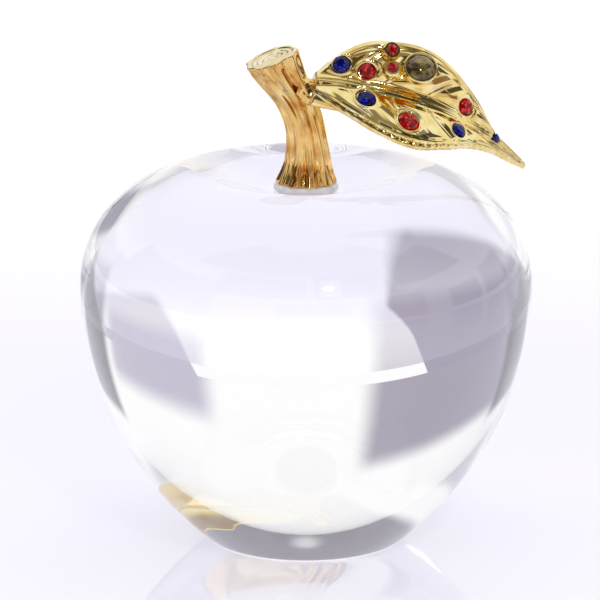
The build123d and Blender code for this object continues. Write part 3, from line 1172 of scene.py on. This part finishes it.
    def relief(self, places: Array, reach: Array, station: Array, side: int) -> Array:
        """Work out how high the face stands over its plain form: veins, midrib, stone rims and rim bead.

        Args:
            places: Places along and across the chord.
            reach: How far each place is from the midrib, 0, to the rim, 1.
            station: How far along the chord each place is.
            side: 1 for the upper half, -1 for the lower.

        Returns:
            One height for each place.
        """
        height = self.veins(reach, station, side)
        line = np.linspace(0, self.midrib_end_share, self.midrib_points)
        gap, share = gap_to_line(places, np.column_stack((self.length * line, self.midrib(line)[0])))
        rib, width = (np.interp(share, (0, 1), ends) for ends in (self.midrib_heights, self.midrib_widths))
        height = height + rib * soft_bump(gap, width)
        channel = self.channel_depth * soft_bump(gap - self.channel_gap, self.channel_width)
        height = height - channel * (1 - share)
        for along, across, radius in self.stone_places.values():
            gap = np.linalg.norm(places - np.array((along, across)) * self.length, axis=1) - radius
            flat = smooth_step(*self.seat_flat_margins, gap)
            rim = self.seat_rim_height * soft_bump(gap - self.seat_rim_gap, self.seat_rim_width)
            height = height * (1 - flat) + rim - self.seat_depth * smooth_step(*self.seat_edge_margins, gap)
        start = smooth_step(*self.lip_start_shares, station)
        lip, dip = (soft_bump(reach - at, width) * start for at, width in (self.lip_shares, self.dip_shares))
        beads = self.beads(station, side, self.lip_bead_share)
        return height + self.lip_height * lip * beads - self.dip_depth * dip

    def beads(self, station: Any, side: int, share: float) -> Any:
        """Return the scale of the small beads along the lower rim, and 1 along the upper."""
        wave = np.sin(2 * math.pi * station * self.length / self.bead_pitch)
        return 1 + (share if side < 0 else 0.0) * wave

    def rim(self, start: Array, end: Array, station: float, side: int) -> Array:
        """Draw the rounded rim between the face and the back, hammered into small beads.

        Args:
            start: Where the rim starts.
            end: Where it ends.
            station: How far along the chord it is.
            side: 1 for the upper half, -1 for the lower.

        Returns:
            The rim's points between the two.
        """
        middle, half = (start + end) / 2, (start - end) / 2
        bulge = side * float(np.linalg.norm(half)) * self.beads(station, side, self.rim_bead_share)
        angles = np.linspace(0, math.pi, self.rim_columns + 2)[1:-1]
        return middle + np.outer(np.cos(angles), half) + np.outer(np.sin(angles), (0, bulge, 0))

    def section(self, station: float) -> Array:
        """Draw one closed section of the leaf.

        Args:
            station: How far along the chord it is.

        Returns:
            Its points in the leaf's frame: the face from the upper rim to the lower one, and the back.
        """
        thin = smooth_table(self.stations, self.thickness_shares, station)
        faces, backs = [], []
        for side in (1, -1):
            reach = np.linspace(0, 1, self.half_columns)
            at = np.full(self.half_columns, station)
            face = self.face(at, reach, side)
            face[:, 2] += self.relief(face[:, :2], reach, at, side)
            inner = np.linspace(0, 1, self.under_columns)
            back = self.face(np.full(self.under_columns, station), inner, side)
            back[:, 2] -= self.thickness * thin
            faces.append(face)
            backs.append(back)
        lower = self.rim(faces[1][-1], backs[1][-1], station, -1)
        upper = self.rim(backs[0][-1], faces[0][-1], station, 1)
        return np.vstack((faces[0][::-1], faces[1][1:], lower, backs[1][::-1], backs[0][1:], upper))

    def root_rib(self) -> tuple[Array, Faces]:
        """Draw the rib under the leaf's root, from the seam to the lower half.

        Returns:
            The rib's points and faces.
        """
        start, end = self.place(0, *self.seam_centre), self.place(*self.root_rib_end)
        thick, slim = np.array(self.seam_radii), np.array(self.root_rib_radii)
        points = [
            self.oval(start + (end - start) * t, *(thick + (slim - thick) * t), self.rib_columns)
            for t in np.linspace(0, 1, self.rib_rows)
        ]
        low = self.rib_rows * self.rib_columns
        faces = grid_faces(self.rib_rows, self.rib_columns)
        faces += end_fans(self.rib_columns, low, low + 1, low - self.rib_columns)
        return np.vstack((*points, start, end)), faces

    def build(self, material: Material) -> None:
        """Build the leaf and put it in the place of its solid.

        Args:
            material: The leaf's material.
        """
        rows = [self.section(station) for station in np.linspace(0, 1, self.rows)]
        columns = len(rows[0])
        low = self.rows * columns
        faces = grid_faces(self.rows, columns) + end_fans(columns, low, low + 1, low - columns)
        local = np.vstack((*rows, rows[0].mean(axis=0), rows[-1].mean(axis=0) + (self.tip_length, 0, 0)))
        points = np.array(self.origin) + local @ np.vstack((self.along, self.across, self.out))
        rib, rib_faces = self.root_rib()
        faces += [tuple(len(points) + i for i in face) for face in rib_faces]
        piece = make_piece("stone_leaf", np.vstack((points, rib)), faces)
        dress(piece, material)
        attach(piece, "root")
        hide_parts("leaf")
        LOG.info("leaf: %d points", len(points))


@dataclass
class Trimmings:
    """The small nodes that keep their own solids: stones, cups, dome, films and solder."""

    nodes: dict[str, Object]

    def finishes(self) -> dict[str, Any]:
        """List the finishes.

        Returns:
            Each finish, by the start of the names of its nodes.
        """
        return {
            "red": FoiledStone("foiled red glass", "#6E0408", "#E8141C", "#FF6850"),
            "blue": FoiledStone("foiled blue glass", "#04063A", "#10189A", "#3C5CFF"),
            "dome_cabochon": SmokedCabochon(),
            "dome_bezel": GoldPlate("gold plated bezel", PlateTone.LEAF),
            "upper_collet": GoldPlate("gold plated upper collet", PlateTone.LEAF),
            "lower_collet": GoldPlate("gold plated lower collet", PlateTone.LEAF),
            "stem_adhesive": CuredAdhesive(),
            "stone_adhesive": CuredAdhesive(),
            "leaf_solder": GoldPlate("gold toned solder", roughness=0.3),
        }

    def build(self, replaced: Sequence[str]) -> None:
        """Dress each node that no new piece replaces.

        Args:
            replaced: The names of the nodes that new pieces replace.
        """
        finishes, made = self.finishes(), {}
        for name, node in self.nodes.items():
            if name in replaced:
                continue
            key = next(key for key in finishes if name.startswith(key))
            if key not in made:
                made[key] = finishes[key].material()
            dress(node, made[key])
            LOG.info("dressed %s", name)


@dataclass
class Studio:
    """The table, the soft surroundings, one small lamp and the camera."""

    camera_place: Triple = (0.0, -1200.0, 350.0)
    camera_aim: Triple = (-1.064, 0.812, 43.143)
    focal_pixels: float = 6986.3
    photo_pixels: float = 600.0
    sensor_mm: float = 36.0
    lamp_place: Triple = (220.0, -980.0, 760.0)
    lamp_aim: Triple = (10.0, 0.0, 80.0)
    lamp_size: float = 110.0
    lamp_watts: float = 1.2
    table_radii: Row = (60.0, 300.0, 12000.0)
    table_sides: int = 96
    table_drop: float = 0.02
    table_mirror_depth: float = 2.5

    def stand(self, name: str, data: Any, place: Sequence[float], aim: Sequence[float]) -> Object:
        """Put a camera or a lamp in the scene.

        Args:
            name: Its name.
            data: Its camera or lamp data.
            place: Where it stands, in millimetres.
            aim: The place that it looks at.

        Returns:
            The new object.
        """
        item = bpy.data.objects.new(name, data)
        item.location = Vector(place) * MM
        way = (Vector(aim) - Vector(place)).normalized()
        item.rotation_euler = way.to_track_quat("-Z", "Y").to_euler()
        bpy.context.scene.collection.objects.link(item)
        return item

    def camera(self) -> None:
        """Build the camera at the photograph's viewing angle."""
        data = bpy.data.cameras.new("camera")
        data.sensor_width = self.sensor_mm
        data.lens = self.focal_pixels / self.photo_pixels * self.sensor_mm
        bpy.context.scene.camera = self.stand("camera", data, self.camera_place, self.camera_aim)

    def lamp(self) -> None:
        """Build the small lamp over the viewer's shoulder that makes the glints."""
        data = bpy.data.lights.new("glint lamp", "AREA")
        data.shape, data.size, data.energy = "DISK", self.lamp_size * MM, self.lamp_watts
        self.stand("glint lamp", data, self.lamp_place, self.lamp_aim).visible_transmission = False

    def table(self) -> None:
        """Build the table top as a wide disc under the apple."""
        sides = self.table_sides
        a = np.linspace(0, 2 * math.pi, sides, endpoint=False)
        circle = np.column_stack((np.cos(a), np.sin(a), np.zeros(sides)))
        points = np.vstack([circle * radius for radius in self.table_radii] + [np.zeros((1, 3))])
        faces = [tuple(reversed(face)) for face in grid_faces(len(self.table_radii), sides)]
        faces += [(len(points) - 1, i, (i + 1) % sides) for i in range(sides)]
        table = make_piece("table", points, faces)
        table.location.z = -self.table_drop * MM
        dress(table, TableTop().material())

    def surroundings(self) -> None:
        """Build the world: a white sky, with soft shapes that only the glass and the gold see.

        The camera sees it plain, and so does the table's mirror image, which is the only mirror without any
        roughness.
        """
        world = bpy.data.worlds.new("soft studio")
        bpy.context.scene.world = world
        world.use_nodes = True
        tree = world.node_tree
        tree.nodes.clear()
        way = add_node(tree, "TexCoord")["Generated"]
        parts = add_node(tree, "SeparateXYZ", {"Vector": way})
        painter = ShapePainter(tree)
        azimuth = painter.degrees("ARCTAN2", parts[0], parts[1])
        height = painter.degrees("ARCSINE", parts[2])
        ends = {"Value": height, "From Min": -90.0, "From Max": 90.0}
        share = add_node(tree, "MapRange", ends)[0]
        base = tone_from(tree, share, ((0.3, "#DCD8E6"), (0.49, "#FFFFFF")))
        back = painter.sky(base, azimuth, height, BACK_SHAPES)
        glass = painter.sky(back, azimuth, height, GLASS_SHAPES)
        metal = painter.sky(back, azimuth, height, METAL_SHAPES)
        # Light that the glass bends counts as both kinds, so the difference is 1 only for mirrored light.
        path = add_node(tree, "LightPath")
        kinds = {0: path["Is Glossy Ray"], 1: path["Is Transmission Ray"]}
        mirrored = add_node(tree, "Math", kinds, operation="SUBTRACT")[0]
        depths = {0: path["Ray Depth"], 1: self.table_mirror_depth}
        early = add_node(tree, "Math", depths, operation="LESS_THAN")[0]
        colour = painter.choose(mirrored, glass, metal)
        in_table = painter.overlap(painter.overlap(path["Is Singular Ray"], mirrored), early)
        for plain in (in_table, path["Is Camera Ray"]):
            colour = painter.lay(colour, plain, "#FFFFFF")
        light = add_node(tree, "Background", {"Color": colour, "Strength": 1.0})[0]
        add_node(tree, "OutputWorld", {"Surface": light})


def main() -> None:
    """Build the apple, its stage and its camera."""
    logging.basicConfig(level=logging.INFO, format="%(message)s")
    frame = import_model()
    studio = Studio()
    studio.camera()
    studio.surroundings()
    studio.lamp()
    studio.table()
    bark = GoldPlate("gold plate on cast bark", roughness=0.07, skin_share=0.06)
    sawn = GoldPlate("gold plate on sawn top", PlateTone.SAWN, roughness=0.16)
    plate = GoldPlate("gold plate on cast leaf", PlateTone.LEAF, roughness=0.055, skin_share=0.05)
    leaf = StoneLeaf()
    GlassApple().build(LeadCrystal())
    BarkStem().build(bark.material(), sawn.material(), leaf)
    leaf.build(plate.material())
    Trimmings(frame["nodes"]).build(("glass_body", "stem", "leaf"))
    bpy.context.scene.view_settings.view_transform = "Standard"
    bpy.context.scene.cycles.max_bounces = LONG_PATHS
    bpy.context.scene.cycles.transmission_bounces = LONG_PATHS
    bpy.context.scene.cycles.glossy_bounces = LONG_PATHS


if __name__ == "__main__":
    main()
